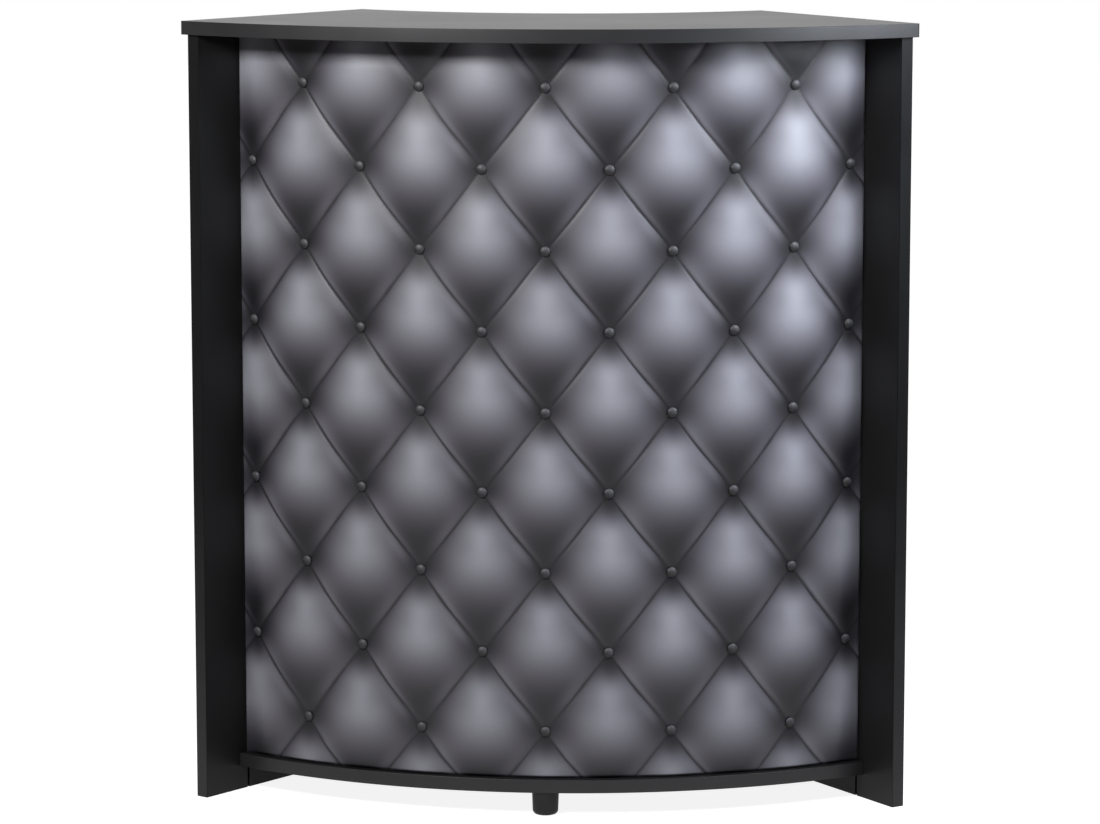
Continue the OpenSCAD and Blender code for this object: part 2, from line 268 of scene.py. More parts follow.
# %% Black melamine
GRAIN_PER_M = 1600
GRAIN_DEPTH = 0.06 * MM
GRAIN_STRENGTH = 0.5
WIPE_PER_M = 7
WIPED_ROUGHNESS = (0.37, 0.40)
MELAMINE_BLACK = (0.0105, 0.0105, 0.011)
WIPED_BLACK = (0.0095, 0.0095, 0.0098, 1)
DRY_BLACK = (0.0120, 0.0120, 0.0123, 1)


def black_melamine():
    material, shader = new_finish("black_melamine", 0.42, MELAMINE_BLACK, specular=0.22)
    tree = material.node_tree
    place = place_of(tree)
    wiping = noise(tree, place, WIPE_PER_M, detail=4)
    grain = noise(tree, place, GRAIN_PER_M, detail=2)
    colour = blend_colours(tree, sway(tree, wiping, 0, 1), WIPED_BLACK, DRY_BLACK)
    feed(tree, shader.inputs["Base Color"], colour)
    feed(tree, shader.inputs["Roughness"], sway(tree, wiping, *WIPED_ROUGHNESS))
    relief(tree, shader, grain, GRAIN_DEPTH, GRAIN_STRENGTH)
    return material


print(f"melamine grain {1 / GRAIN_PER_M / MM:.2f} mm wide, {GRAIN_DEPTH / MM:.2f} mm deep")

# %% [markdown]
# ## Plastic edging
# The edges carry a one millimetre plastic strip. It is a little greyer and glossier than the film
# beside it, and it was drawn lengthwise through a die, so its grain runs along the edge as very faint
# lines. Stretching a noise along the plan would need the strip's direction, so the lines are laid in
# height instead: on the level strips that is the same thing, and on the upright ones they are too
# faint to tell. The strips of the two sides are blacker and duller than the one round the top, so the
# same graph is made twice. Towards the floor the side strips turn paler: that is painted light, the
# pale bounce from the floor, laid over the colour.

# %% Black edging
DRAWN_LINES = (6, 6, 900)
LINE_DEPTH = 0.03 * MM
LINE_STRENGTH = 0.15
PATCHES_PER_M = 12
DARK_PATCH = (0.9, 0.9, 0.95)
PALE_PATCH = (1.15, 1.15, 1.2)
SMOOTH_PATCH = 0.01
ROUGH_PATCH = 0.015
BOUNCE_TOP = 0.45
BOUNCE_SWAY = (0.85, 1.15)


def painted_floor_bounce(tree, place, patches, bounce):
    """How much the painted floor bounce pales the plastic: most at the floor, none from its top on."""
    height = xyz_of(tree, place)["Z"]
    return calc(tree, "MULTIPLY", spread(tree, height, 0, BOUNCE_TOP, bounce, 0),
                sway(tree, patches, *BOUNCE_SWAY))


def black_edging(name, paleness, roughness, specular, bounce=0.0):
    """Edging plastic; the bounce is how much paler the painted floor bounce makes it at the floor."""
    material, shader = new_finish(name, roughness, (paleness, paleness, paleness), specular=specular)
    tree = material.node_tree
    place = place_of(tree)
    lines = noise(tree, add(tree, "ShaderNodeMapping", Vector=place, Scale=DRAWN_LINES), 1, detail=2)
    patches = noise(tree, place, PATCHES_PER_M, detail=3)
    colour = blend_colours(tree, sway(tree, patches, 0, 1),
                           times(DARK_PATCH, paleness), times(PALE_PATCH, paleness))
    # painted light: the pale bounce from the floor on the lowest part of the strip
    if bounce:
        colour = blend_colours(tree, painted_floor_bounce(tree, place, patches, bounce), colour, WHITE)
    feed(tree, shader.inputs["Base Color"], colour)
    feed(tree, shader.inputs["Roughness"],
         sway(tree, patches, roughness - SMOOTH_PATCH, roughness + ROUGH_PATCH))
    relief(tree, shader, lines, LINE_DEPTH, LINE_STRENGTH)
    return material


print(f"edging lines {1 / DRAWN_LINES[2] / MM:.1f} mm apart, film up to {BOUNCE_TOP} m")

# %% [markdown]
# ## Tufted leatherette
# The padded front is a grey leatherette with painted light and shade on it: a painted highlight on
# the upper part of each tuft, and painted shade, nearly black, in the lower corner and round the
# buttons. It could be painted by hand on an unwrapped map, but the tufts repeat, so the tone is
# worked out instead. The mesh stores two numbers at each point, which are whole along the creases.
# What follows their whole part tells where in its tuft a point lies, and a table of smooth hills in
# those places makes the painted light and shade.

# %% Where a point lies in its tuft
LATTICE = "tuft_lattice"
FOLDS_PER_M = 32
FOLD_WEIGHTS = (1.45, 0.75)


def tuft_numbers(tree):
    """The two lattice numbers, as stored on the mesh."""
    numbers = xyz_of(tree, add(tree, "ShaderNodeUVMap", settings={"uv_map": LATTICE}))
    return numbers["X"], numbers["Y"]


def tuft_places(tree, first, second, place):
    """Ways to say where a point lies: in its tuft from -1 to 1, or off one of its four sides."""
    off_low_left = calc(tree, "FRACT", first)
    off_high_left = calc(tree, "FRACT", second)
    across = calc(tree, "SUBTRACT", calc(tree, "ADD", off_low_left, off_high_left), 1.0)
    weight = sway(tree, noise(tree, place, FOLDS_PER_M, detail=2), *FOLD_WEIGHTS)
    return {
        "across": across,
        "aside": calc(tree, "ABSOLUTE", across),
        "up": calc(tree, "SUBTRACT", off_low_left, off_high_left),
        "off_low_left": off_low_left,
        "off_high_left": off_high_left,
        "off_falling": calc(tree, "MULTIPLY", calc(tree, "PINGPONG", first, 0.5), weight),
        "off_rising": calc(tree, "MULTIPLY", calc(tree, "PINGPONG", second, 0.5), weight),
    }


print(f"the creases' weight wanders over {1000 / FOLDS_PER_M:.0f} mm")

# %% [markdown]
# Each row of the tables is one hill: how strong it is, then two of the places above, each with the
# value where the hill is highest and the distance over which it falls off. The painted highlights add
# up. The painted shades each take a share away: beside and under the buttons, along the upper left
# side, and in the two families of creases, whose weight wanders a little as real folds do.

# %% Painted light and shade of a tuft
PAINTED_HIGHLIGHTS = [
    (0.213, ("across", 0.010, 0.553), ("up", 0.190, 0.277)),
    (0.160, ("across", 0.010, 0.441), ("up", 0.550, 0.211)),
    (0.070, ("across", 0.000, 0.166), ("up", 0.500, 0.289)),
    (0.082, ("across", -0.100, 1.610), ("up", -0.120, 0.310)),
    (0.089, ("off_low_left", 0.004, 0.111), ("off_high_left", 0.255, 0.375)),
    (0.040, ("off_low_left", 0.032, 0.030), ("off_high_left", 0.560, 0.260)),
    (0.058, ("off_high_left", 0.980, 0.085), ("off_low_left", 0.448, 0.232)),
    (0.062, ("off_low_left", 0.945, 0.045), ("off_high_left", 0.780, 0.300)),
]
PAINTED_SHADES = [
    (0.99, ("aside", 0.980, 0.376), ("up", 0.050, 0.293)),
    (0.80, ("across", 0.015, 0.165), ("up", 0.950, 0.300)),
    (0.25, ("off_high_left", -0.015, 0.072), ("up", 0.614, 0.584)),
    (0.88, ("off_falling", 0.0, 0.016), ("off_high_left", 0.42, 0.62)),
    (0.78, ("off_rising", 0.0, 0.015), ("off_low_left", 0.52, 0.46)),
]
DARKEST = 0.0065


def hill(tree, number, top, fall):
    """1 where the number is at its top, dropping smoothly to nothing on both sides."""
    away = calc(tree, "DIVIDE", calc(tree, "SUBTRACT", number, top), fall)
    return calc(tree, "EXPONENT", calc(tree, "MULTIPLY", calc(tree, "MULTIPLY", away, away), -1))


def row_of(tree, places, row):
    """One row of a table: its strength where both of its places are met, and less around."""
    strength, (one, one_top, one_fall), (other, other_top, other_fall) = row
    near_one = hill(tree, places[one], one_top, one_fall)
    near_other = hill(tree, places[other], other_top, other_fall)
    return calc(tree, "MULTIPLY", calc(tree, "MULTIPLY", near_one, near_other), strength)


def painted_tuft_light(tree, places):
    """How pale the leatherette is under its painted light and shade, from 0, black."""
    tone = row_of(tree, places, PAINTED_HIGHLIGHTS[0])
    for row in PAINTED_HIGHLIGHTS[1:]:
        tone = calc(tree, "ADD", tone, row_of(tree, places, row))
    for row in PAINTED_SHADES:
        tone = calc(tree, "MULTIPLY", tone, calc(tree, "SUBTRACT", 1.0, row_of(tree, places, row)))
    return calc(tree, "ADD", tone, DARKEST)


print("hills in a tuft:", len(PAINTED_HIGHLIGHTS), "pale,", len(PAINTED_SHADES), "dark")

# %% [markdown]
# The tone gets its colour last. The painted shade leans to plum and the painted highlight to a cool
# grey, and each tuft is a shade lighter or darker than its neighbour, as panels of a real hide are.
# On top lies the pressed grain, a cell pattern one and a half millimetres wide, which breaks up the
# sheen.

# %% Leatherette finish
LEATHER_CELLS_PER_M = 620
LEATHER_DEPTH = 0.22 * MM
LEATHER_STRENGTH = 0.35
LEATHER_ROUGHNESS = (0.42, 0.50)
MOTTLE_PER_M = 11
MOTTLED = (0.93, 1.07)
OWN_SHADES = (0.96, 1.04)
TINT_GAIN = 1.25
PAINTED_SHADE_TINT = (0.86, 0.80, 0.965, 1)
PAINTED_HIGHLIGHT_TINT = (0.80, 0.80, 0.90, 1)
PALE_TONE = 0.2


def own_number(tree, first, second):
    """A random number from 0 to 1, the same all over one tuft."""
    tuft = add(tree, "ShaderNodeCombineXYZ", X=calc(tree, "FLOOR", first), Y=calc(tree, "FLOOR", second))
    return add(tree, "ShaderNodeTexWhiteNoise", Vector=tuft)


def leatherette():
    material, shader = new_finish("grey_leatherette", 0.45, (0.2, 0.2, 0.22), specular=0.5)
    tree = material.node_tree
    place = place_of(tree)
    first, second = tuft_numbers(tree)
    mottle = noise(tree, place, MOTTLE_PER_M, detail=4)
    # painted light and shade: a highlight on each crown, shade in the corners, the creases and round the
    # buttons
    tone = painted_tuft_light(tree, tuft_places(tree, first, second, place))
    tone = calc(tree, "MULTIPLY", tone, sway(tree, mottle, *MOTTLED, CALM_NOISE))
    tone = calc(tree, "MULTIPLY", tone, spread(tree, own_number(tree, first, second), 0, 1, *OWN_SHADES))
    # the painted shade is tinted plum, the painted highlight cool grey
    tint = blend_colours(tree, spread(tree, tone, 0, PALE_TONE, 0, 1), PAINTED_SHADE_TINT, PAINTED_HIGHLIGHT_TINT)
    colour = blend_colours(tree, calc(tree, "MULTIPLY", tone, TINT_GAIN), BLACK, tint)
    feed(tree, shader.inputs["Base Color"], colour)
    feed(tree, shader.inputs["Roughness"], sway(tree, mottle, *LEATHER_ROUGHNESS, CALM_NOISE))
    grain = add(tree, "ShaderNodeTexVoronoi", Vector=place, Scale=LEATHER_CELLS_PER_M)
    relief(tree, shader, grain, LEATHER_DEPTH, LEATHER_STRENGTH)
    return material


print(f"leather grain {1 / LEATHER_CELLS_PER_M / MM:.1f} mm wide")

# %% [markdown]
# ## Button covers
# The buttons are wrapped in the same leatherette and, like the tufts, carry painted light: a painted
# highlight on the upper side, leaning right, and painted shade on the lower side and round the rim.
# Each point of a button carries its own place on the disc, from -1 to 1, so one finish does them all.

# %% Button finish
DISC = "button_disc"
LEAN_TO_RIGHT = 0.35
LIT_SPAN = (-0.4, 0.9)
BUTTON_TONES = (0.022, 0.09)
RIM_STARTS = 0.7
PAINTED_RIM_SHADE = 0.6
BUTTON_TINT = (0.98, 0.97, 1.04, 1)
BUTTON_CELLS_PER_M = 900
BUTTON_GRAIN_DEPTH = 0.15 * MM
RUBBING_PER_M = 260
RUBBED = (0.85, 1.15)


def off_middle_of(tree, spot):
    """How far a point of the disc lies off its middle: 1 at the rim."""
    return calc(tree, "SQRT", calc(tree, "ADD", calc(tree, "POWER", spot["X"], 2.0),
                                   calc(tree, "POWER", spot["Y"], 2.0)))


def button_leatherette():
    material, shader = new_finish("button_leatherette", 0.45, (0.040, 0.039, 0.042), specular=0.35)
    tree = material.node_tree
    place = place_of(tree)
    spot = xyz_of(tree, add(tree, "ShaderNodeUVMap", settings={"uv_map": DISC}))
    # painted light: a highlight on the upper side, leaning right, and painted shade below
    lit_way = calc(tree, "ADD", calc(tree, "MULTIPLY", spot["X"], LEAN_TO_RIGHT), spot["Y"])
    rubbing = noise(tree, place, RUBBING_PER_M, detail=3)
    tone = calc(tree, "MULTIPLY", spread(tree, lit_way, *LIT_SPAN, *BUTTON_TONES),
                sway(tree, rubbing, *RUBBED))
    # painted shade round the rim, where the button meets the skin
    tone = calc(tree, "MULTIPLY", tone,
                spread(tree, off_middle_of(tree, spot), RIM_STARTS, 1.0, 1.0, PAINTED_RIM_SHADE))
    feed(tree, shader.inputs["Base Color"], blend_colours(tree, tone, BLACK, BUTTON_TINT))
    grain = add(tree, "ShaderNodeTexVoronoi", Vector=place, Scale=BUTTON_CELLS_PER_M)
    relief(tree, shader, grain, BUTTON_GRAIN_DEPTH, LEATHER_STRENGTH)
    return material


print(f"button grain {1 / BUTTON_CELLS_PER_M / MM:.1f} mm wide")

# %% [markdown]
# ## Lacquered hardboard
# The back of the bent shell is hardboard with a thin dark lacquer, in which the pressed fibres still
# show. A plain brown would do from afar. A noise squeezed in height gives flat fibres, and a slow one
# over it gives the clouds that a thin lacquer dries into.

# %% Hardboard finish
FIBRES = (260, 260, 900)
FIBRE_DEPTH = 0.1 * MM
FIBRE_STRENGTH = 0.4
FIBRE_ROUGHNESS = (0.42, 0.6)
FIBRE_SHADES = (0.4, 1)
CLOUDS_PER_M = 14
DARK_FIBRE = (0.020, 0.018, 0.017, 1)
PALE_FIBRE = (0.060, 0.052, 0.045, 1)


def lacquered_hardboard():
    material, shader = new_finish("lacquered_hardboard", 0.5, (0.03, 0.027, 0.025), specular=0.4)
    tree = material.node_tree
    place = place_of(tree)
    fibres = noise(tree, add(tree, "ShaderNodeMapping", Vector=place, Scale=FIBRES), 1, detail=6)
    clouds = noise(tree, place, CLOUDS_PER_M, detail=4)
    tint = calc(tree, "MULTIPLY", sway(tree, fibres, *FIBRE_SHADES, STRONG_NOISE), clouds)
    feed(tree, shader.inputs["Base Color"], blend_colours(tree, tint, DARK_FIBRE, PALE_FIBRE))
    feed(tree, shader.inputs["Roughness"], sway(tree, fibres, *FIBRE_ROUGHNESS))
    relief(tree, shader, fibres, FIBRE_DEPTH, FIBRE_STRENGTH)
    return material


print(f"fibres {1 / FIBRES[0] / MM:.1f} mm long and {1 / FIBRES[2] / MM:.1f} mm thick")

# %% [markdown]
# ## Moulded plastic
# The foot has a spark-eroded texture, as most moulds for such parts have, and the cam caps have a
# finer one. Both are the same plastic, so one function makes them from a colour and a texture size.
# Scuffs in the gloss keep the foot from looking like liquid.

# %% Plastic finish
SCUFFS_PER_M = 45
SCUFFED_DARK = 0.75
SCUFFED_PALE = 1.35
SMOOTHED = 0.05
SCRATCHED = 0.08
MOULD_DEPTH = 0.08 * MM
MOULD_STRENGTH = 0.5


def moulded_plastic(name, colour, per_m, roughness):
    material, shader = new_finish(name, roughness, colour, specular=0.3)
    tree = material.node_tree
    place = place_of(tree)
    texture = noise(tree, place, per_m, detail=3)
    scuffs = noise(tree, place, SCUFFS_PER_M, detail=5)
    tint = blend_colours(tree, sway(tree, scuffs, 0, 1, STRONG_NOISE),
                         times(colour, SCUFFED_DARK), times(colour, SCUFFED_PALE))
    feed(tree, shader.inputs["Base Color"], tint)
    feed(tree, shader.inputs["Roughness"], sway(tree, scuffs, roughness - SMOOTHED, roughness + SCRATCHED))
    relief(tree, shader, texture, MOULD_DEPTH, MOULD_STRENGTH)
    return material


print(f"scuffs {1000 / SCUFFS_PER_M:.0f} mm wide, mould texture {MOULD_DEPTH / MM:.2f} mm deep")

# %% [markdown]
# ## Fittings of metal and wood
# The cams are cast zinc, the bolts and the stud plated steel, the insert brass and the dowels beech.
# They are hidden in the boards, but each still has its own finish, because the pieces are also looked
# at one by one. The metals differ in colour, gloss and the width of their tarnish only.

# %% Metal and beech
TARNISHED = 0.78
BRIGHTENED = 0.07
DULLED = 0.1
FLECKS = (300, 300, 1500)
FLECK_DEPTH = 0.1 * MM
FLECK_STRENGTH = 0.4
DARK_BEECH = (0.36, 0.21, 0.11, 1)
PALE_BEECH = (0.56, 0.38, 0.23, 1)
FLECK_NOISE = (0.35, 0.7)


def metal(name, colour, roughness, per_m):
    material, shader = new_finish(name, roughness, colour)
    tree = material.node_tree
    shader.inputs["Metallic"].default_value = 1.0
    tarnish = noise(tree, place_of(tree), per_m, detail=5)
    tint = blend_colours(tree, sway(tree, tarnish, 0, 1, STRONG_NOISE),
                         times(colour, TARNISHED), (*colour, 1))
    feed(tree, shader.inputs["Base Color"], tint)
    feed(tree, shader.inputs["Roughness"], sway(tree, tarnish, roughness - BRIGHTENED, roughness + DULLED))
    return material


def bare_beech():
    material, shader = new_finish("bare_beech", 0.6, (0.5, 0.33, 0.2), specular=0.3)
    tree = material.node_tree
    place = place_of(tree)
    flecks = noise(tree, add(tree, "ShaderNodeMapping", Vector=place, Scale=FLECKS), 1, detail=4)
    tint = blend_colours(tree, sway(tree, flecks, 0, 1, FLECK_NOISE), DARK_BEECH, PALE_BEECH)
    feed(tree, shader.inputs["Base Color"], tint)
    relief(tree, shader, flecks, FLECK_DEPTH, FLECK_STRENGTH)
    return material


print(f"beech flecks {1 / FLECKS[0] / MM:.1f} mm wide")

# %% [markdown]
# ## Dressing the pieces
# The source names a material for every piece, and each of those names gets one of the finishes. The
# edging of the two sides is the exception: in the photograph it is blacker than the top's, so it gets
# the duller edging with the painted floor bounce.

# %% Give every loaded piece its finish
FINISHES = {
    "black_board": black_melamine(),
    "black_edging": black_edging("black_edging", paleness=0.019, roughness=0.385, specular=0.44),
    "bent_fibreboard": lacquered_hardboard(),
    "tufted_leatherette": leatherette(),
    "covered_button": button_leatherette(),
    "zinc_cam": metal("cast_zinc", (0.42, 0.42, 0.43), roughness=0.45, per_m=300),
    "plated_steel": metal("plated_steel", (0.60, 0.60, 0.58), roughness=0.3, per_m=220),
    "black_cap": moulded_plastic("cap_plastic", (0.014, 0.014, 0.014), per_m=1500, roughness=0.42),
    "beech_dowel": bare_beech(),
    "brass_insert": metal("plain_brass", (0.62, 0.44, 0.18), roughness=0.32, per_m=240),
    "black_foot_plastic": moulded_plastic("foot_plastic", (0.013, 0.013, 0.013), per_m=1100,
                                          roughness=0.42),
}
# the side strips carry the painted floor bounce, paler towards the floor
DULL_EDGING = black_edging("dull_edging", paleness=0.0075, roughness=0.36, specular=0.19, bounce=0.028)
DULL_PIECES = ("left_side_bands", "right_side_bands")
SLOT_OF = {part["node"]: part["material_slot"] for part in frame["record"]["subparts"]}


def dress_nodes():
    for name, piece in frame["nodes"].items():
        finish = DULL_EDGING if name in DULL_PIECES else FINISHES[SLOT_OF[name]]
        piece.data.materials.clear()
        piece.data.materials.append(finish)


dress_nodes()
print("finishes:", len(FINISHES) + 1, "on", len(SLOT_OF), "pieces")

# %% [markdown]
# ## Softened arrises
# No real edge is perfectly sharp: the strips are scraped to a radius of about half a millimetre, and
# that tiny round is what catches the light along the top. A bevel modifier adds it without touching
# the loaded mesh. The loaded faces don't share their corners, so a weld joins them first, and the
# weighted normals keep the boards flat beside the rounds.

# %% Round the visible arrises
EDGED = ["top_board", "top_long_bands", "top_end_bands", "left_side_panel", "right_side_panel",
         "left_side_bands", "right_side_bands", "bottom_board", "bottom_bands", "lower_shelf",
         "upper_shelf", "lower_shelf_band", "upper_shelf_band"]
ARRIS = 0.6 * MM
ARRIS_STEPS = 2
SAME_CORNER = 0.01 * MM
SHARP = math.radians(50)
FLATNESS = 100


def soften(piece):
    weld = piece.modifiers.new("join_corners", "WELD")
    weld.merge_threshold = SAME_CORNER
    bevel = piece.modifiers.new("arris", "BEVEL")
    bevel.width = ARRIS
    bevel.segments = ARRIS_STEPS
    bevel.limit_method = "ANGLE"
    bevel.angle_limit = SHARP
    shading = piece.modifiers.new("flat_faces", "WEIGHTED_NORMAL")
    shading.weight = FLATNESS


for name in EDGED:
    soften(frame["nodes"][name])
print("arrises softened on", len(EDGED), "pieces")

# %% [markdown]
# ## The tufted skin
# Tufting pins a padded skin at buttons in a diamond grid. Between the buttons it folds into straight
# creases, and inside each diamond it swells. Sculpting or a cloth simulation could give that, yet the
# grid is regular and the swell is smooth, so a height for every point of a fine grid is surer: it
# meets the boards cleanly and comes out the same each time. Across the front u is measured along the
# curve and w straight up, both from the middle.

# %% The lattice of buttons and creases
TUFT_W = 167 * MM
TUFT_H = 213 * MM


def lattice_numbers(u, w):
    """Two numbers that are whole along the two families of creases."""
    return u / TUFT_W + w / TUFT_H, u / TUFT_W - w / TUFT_H


print(f"tufts of {TUFT_W / MM:.0f} by {TUFT_H / MM:.0f} mm")

# %% [markdown]
# The sine of a lattice number is nothing on a crease and full half way to the next. The product of the
# two sines is therefore a hill over each diamond, and a power under one makes it full and round, as
# foam is. A little of the height is left along the creases, and none at the buttons.

# %% Swell of a tuft
CROWN = 11 * MM
CREASE_MID = 2.5 * MM
FULLNESS = 0.66


def swell(u, w):
    first, second = lattice_numbers(u, w)
    a = np.abs(np.sin(np.pi * first))
    b = np.abs(np.sin(np.pi * second))
    return (a * b) ** FULLNESS * (CROWN - CREASE_MID) + CREASE_MID * np.sqrt((a * a + b * b) / 2)


print(f"a crown stands {CROWN / MM:.0f} mm over the shell")

# %% [markdown]
# At its border the skin is pulled down and tucked behind the boards. A steep last few millimetres
# make the tuck. Inside them a long slope flattens the tufts, most at the sides, so that the border
# is a straight line and not a wavy one.

# %% Border of the skin
BORDER = 3 * MM
BORDER_SLOPE = 38 * MM
SIDE_LOSS = 0.75
END_LOSS = 0.5


def eased(share):
    """0 below 0, 1 above 1, and a smooth step between."""
    held = np.clip(share, 0, 1)
    return held * held * (3 - 2 * held)


def off_border(u, w):
    return np.minimum(SKIN_HALF_W - np.abs(u), SKIN_HALF_H - np.abs(w))


def held_down(u, w):
    """Share of the height left near the border: a steep last few millimetres, and long slopes."""
    steep = eased(off_border(u, w) / BORDER)
    off_side = eased((SKIN_HALF_W - np.abs(u)) / BORDER_SLOPE)
    off_end = eased((SKIN_HALF_H - np.abs(w)) / BORDER_SLOPE)
    return steep * (1 - SIDE_LOSS * (1 - off_side)) * (1 - END_LOSS * (1 - off_end))


def skin_height(u, w):
    return swell(u, w) * held_down(u, w)


print(f"the tufts flatten over the last {BORDER_SLOPE / MM:.0f} mm")

# %% [markdown]
# Leatherette has weight, so its creases don't run quite straight from button to button. They hang in
# the middle, and those that fall to the right hang more, most in their upper half. Moving the
# finished points down by a formula keeps the grid, and with it the sharp creases.

# %% Hang of the creases
HANG = 1.2 * MM
FALLING_HANG = 1.3 * MM
HANG_FADE = 30 * MM


def hang(u, w):
    """How far a point hangs below the straight lattice: nothing at the buttons, most on falling creases."""
    first, second = lattice_numbers(u, w)
    near_first = np.cos(np.pi * first) ** 2
    near_second = np.cos(np.pi * second) ** 2
    along = second - np.floor(second)
    toward_upper = (2 * (1 - along)) ** 2
    drop = HANG * (1 - near_first * near_second)
    drop += FALLING_HANG * near_first * (1 - near_second) * toward_upper
    return drop * eased(off_border(u, w) / HANG_FADE)


middle_of_crease = hang(np.array([TUFT_W / 4]), np.array([-TUFT_H / 4]))[0]
print(f"a falling crease hangs {middle_of_crease / MM:.1f} mm half way between its buttons")

# %% [markdown]
# The grid's steps divide a tuft evenly, so every crease runs exactly along the diagonals of the grid
# and stays sharp. At the border the even steps end in a few close lines, which draw the tuck.

# %% Lines of the grid
STEPS = 48
CLOSE_LINES = (1.0, 0.7, 0.4, 0.15, 0)


def grid_line(half, step):
    """Multiples of the step inside a half size, and close lines where the skin dips to its border."""
    count = int((half - BORDER) / step)
    inner = np.arange(-count, count + 1) * step
    close = half - np.array(CLOSE_LINES) * BORDER
    return np.concatenate([-close[::-1], inner, close])


us = grid_line(SKIN_HALF_W, TUFT_W / STEPS)
ws = grid_line(SKIN_HALF_H, TUFT_H / STEPS)
print("skin grid:", len(us), "by", len(ws), "points")

# %% [markdown]
# The skin is a closed piece: a front with the tufts, a plain back close to the shell, and narrow
# faces round the border. Each square of the front is split along the diagonal that its nearest
# crease follows. Left to Blender, the split would zigzag across the creases.

# %% Faces of the skin
def nearer_to_first(first, second, j, i):
    """Whether a square of the grid lies nearer to a crease of the first family."""
    a = (first[j, i] + first[j + 1, i + 1]) / 2
    b = (second[j, i] + second[j + 1, i + 1]) / 2
    return abs(a - round(a)) < abs(b - round(b))


def front_and_back_faces(first, second):
    """Two triangles in front and one square behind for each square of the grid."""
    rows, columns = first.shape
    behind = rows * columns
    faces = []
    for j in range(rows - 1):
        for i in range(columns - 1):
            p00 = j * columns + i
            p10, p01, p11 = p00 + 1, p00 + columns, p00 + columns + 1
            if nearer_to_first(first, second, j, i):
                faces += [(p00, p10, p01), (p10, p11, p01)]
            else:
                faces += [(p00, p10, p11), (p00, p11, p01)]
            faces.append((behind + p00, behind + p01, behind + p11, behind + p10))
    return faces


def border_faces(rows, columns):
    """The narrow faces that close the skin round its border."""
    behind = rows * columns
    rim = list(range(columns))
    rim += [j * columns + columns - 1 for j in range(1, rows)]
    rim += [(rows - 1) * columns + i for i in range(columns - 2, -1, -1)]
    rim += [j * columns for j in range(rows - 2, 0, -1)]
    return [(there, here, behind + here, behind + there) for here, there in zip(rim, rim[1:] + rim[:1])]


print("border faces:", len(border_faces(len(ws), len(us))))

# %% [markdown]
# Last, the flat grid is wrapped round the arc and each point gets its two lattice numbers, which the
# leatherette's tone is made from. The skin then takes the place of the plain one from the source. It
# is padded: foam under a stretched cover.

# %% Build the skin as a closed piece
SHELL_GAP = 0.3 * MM


def on_arc(u, radius, w):
    angle = u / SKIN_R
    return np.stack([radius * np.sin(angle), ARC_Y - radius * np.cos(angle),
                     np.broadcast_to(SKIN_MID_Z + w, angle.shape)], axis=-1)


def store_lattice(mesh, first, second):
    """Keeps the two numbers on the mesh; the points behind have those in front of them."""
    numbers = np.stack([first, second], axis=-1).reshape(-1, 2)
    layer = mesh.uv_layers.new(name=LATTICE)
    corner = np.array([loop.vertex_index for loop in mesh.loops]) % len(numbers)
    layer.data.foreach_set("uv", numbers[corner].astype(np.float32).ravel())


def make_skin():
    u, w = np.meshgrid(us, ws)
    front = on_arc(u, SKIN_R + skin_height(u, w), w - hang(u, w)).reshape(-1, 3)
    back = on_arc(u, np.full_like(u, SHELL_R + SHELL_GAP), w).reshape(-1, 3)
    first, second = lattice_numbers(u, w)
    mesh = bpy.data.meshes.new("tufted_skin_padded")
    mesh.from_pydata(np.concatenate([front, back]).tolist(), [],
                     front_and_back_faces(first, second) + border_faces(*u.shape))
    store_lattice(mesh, first, second)
    mesh.shade_smooth()
    mesh.validate()
    return mesh


skin = put_in_scene("tufted_skin_padded", make_skin())
skin.data.materials.append(FINISHES["tufted_leatherette"])
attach(skin, "cabinet")
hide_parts("tufted_skin")
print("skin:", len(skin.data.polygons), "faces")

# %% [markdown]
# ## Covered buttons
# Each button is a small dome wrapped in the same leatherette and pulled into the skin where the
# creases cross. Spheres pressed into the skin would do from afar, but a revolved profile with a
# tucked-under rim is the real shape.

# %% Shape and places of the buttons
BUTTON_R = 7 * MM
BUTTON_H = 4.2 * MM
BUTTON_RINGS = 8
RIM_SHARE = 0.26
TUCKED_RIM = [(0.72, 0.0), (0.94, 0.10)]
BORDER_CLEAR = 2 * MM


def button_profile():
    """Radius and height from the tucked rim over the dome to its middle."""
    points = [(BUTTON_R * across, BUTTON_H * up) for across, up in TUCKED_RIM]
    for k in range(BUTTON_RINGS):
        turn = math.pi / 2 * k / BUTTON_RINGS
        height = BUTTON_H * (RIM_SHARE + (1 - RIM_SHARE) * math.sin(turn))
        points.append((BUTTON_R * math.cos(turn), height))
    return points


def button_places():
    """Every crossing of creases where a whole button fits inside the border."""
    margin = BUTTON_R + BORDER_CLEAR
    columns = int(2 * SKIN_HALF_W / TUFT_W) + 1
    rows = int(2 * SKIN_HALF_H / TUFT_H) + 1
    crossings = [(i * TUFT_W / 2, j * TUFT_H / 2)
                 for j in range(-rows, rows + 1) for i in range(-columns, columns + 1)
                 if (i + j) % 2 == 0]
    return [(u, w) for u, w in crossings
            if abs(u) < SKIN_HALF_W - margin and abs(w) < SKIN_HALF_H - margin]


print("buttons:", len(button_places()))

# %% [markdown]
# A button is drawn ring by ring, square to the shell at its place. One mesh holds them all, because
# they are cut and covered alike. While a point is made, its place on the disc is noted too, for the
# finish that paints shade on the lower side of each button.

# %% Draw one button
BUTTON_SIDES = 28
BUTTON_SEAT = 0.6 * MM
UPWARD = Vector((0, 0, 1))


def add_ring(shape, spots, centre, sideways, rise, radius):
    ring = []
    for s in range(BUTTON_SIDES):
        turn = 2 * math.pi * s / BUTTON_SIDES
        spoke = sideways * math.cos(turn) + UPWARD * math.sin(turn)
        point = shape.verts.new(centre + spoke * radius + rise)
        spots[point] = (math.cos(turn) * radius / BUTTON_R, math.sin(turn) * radius / BUTTON_R)
        ring.append(point)
    return ring


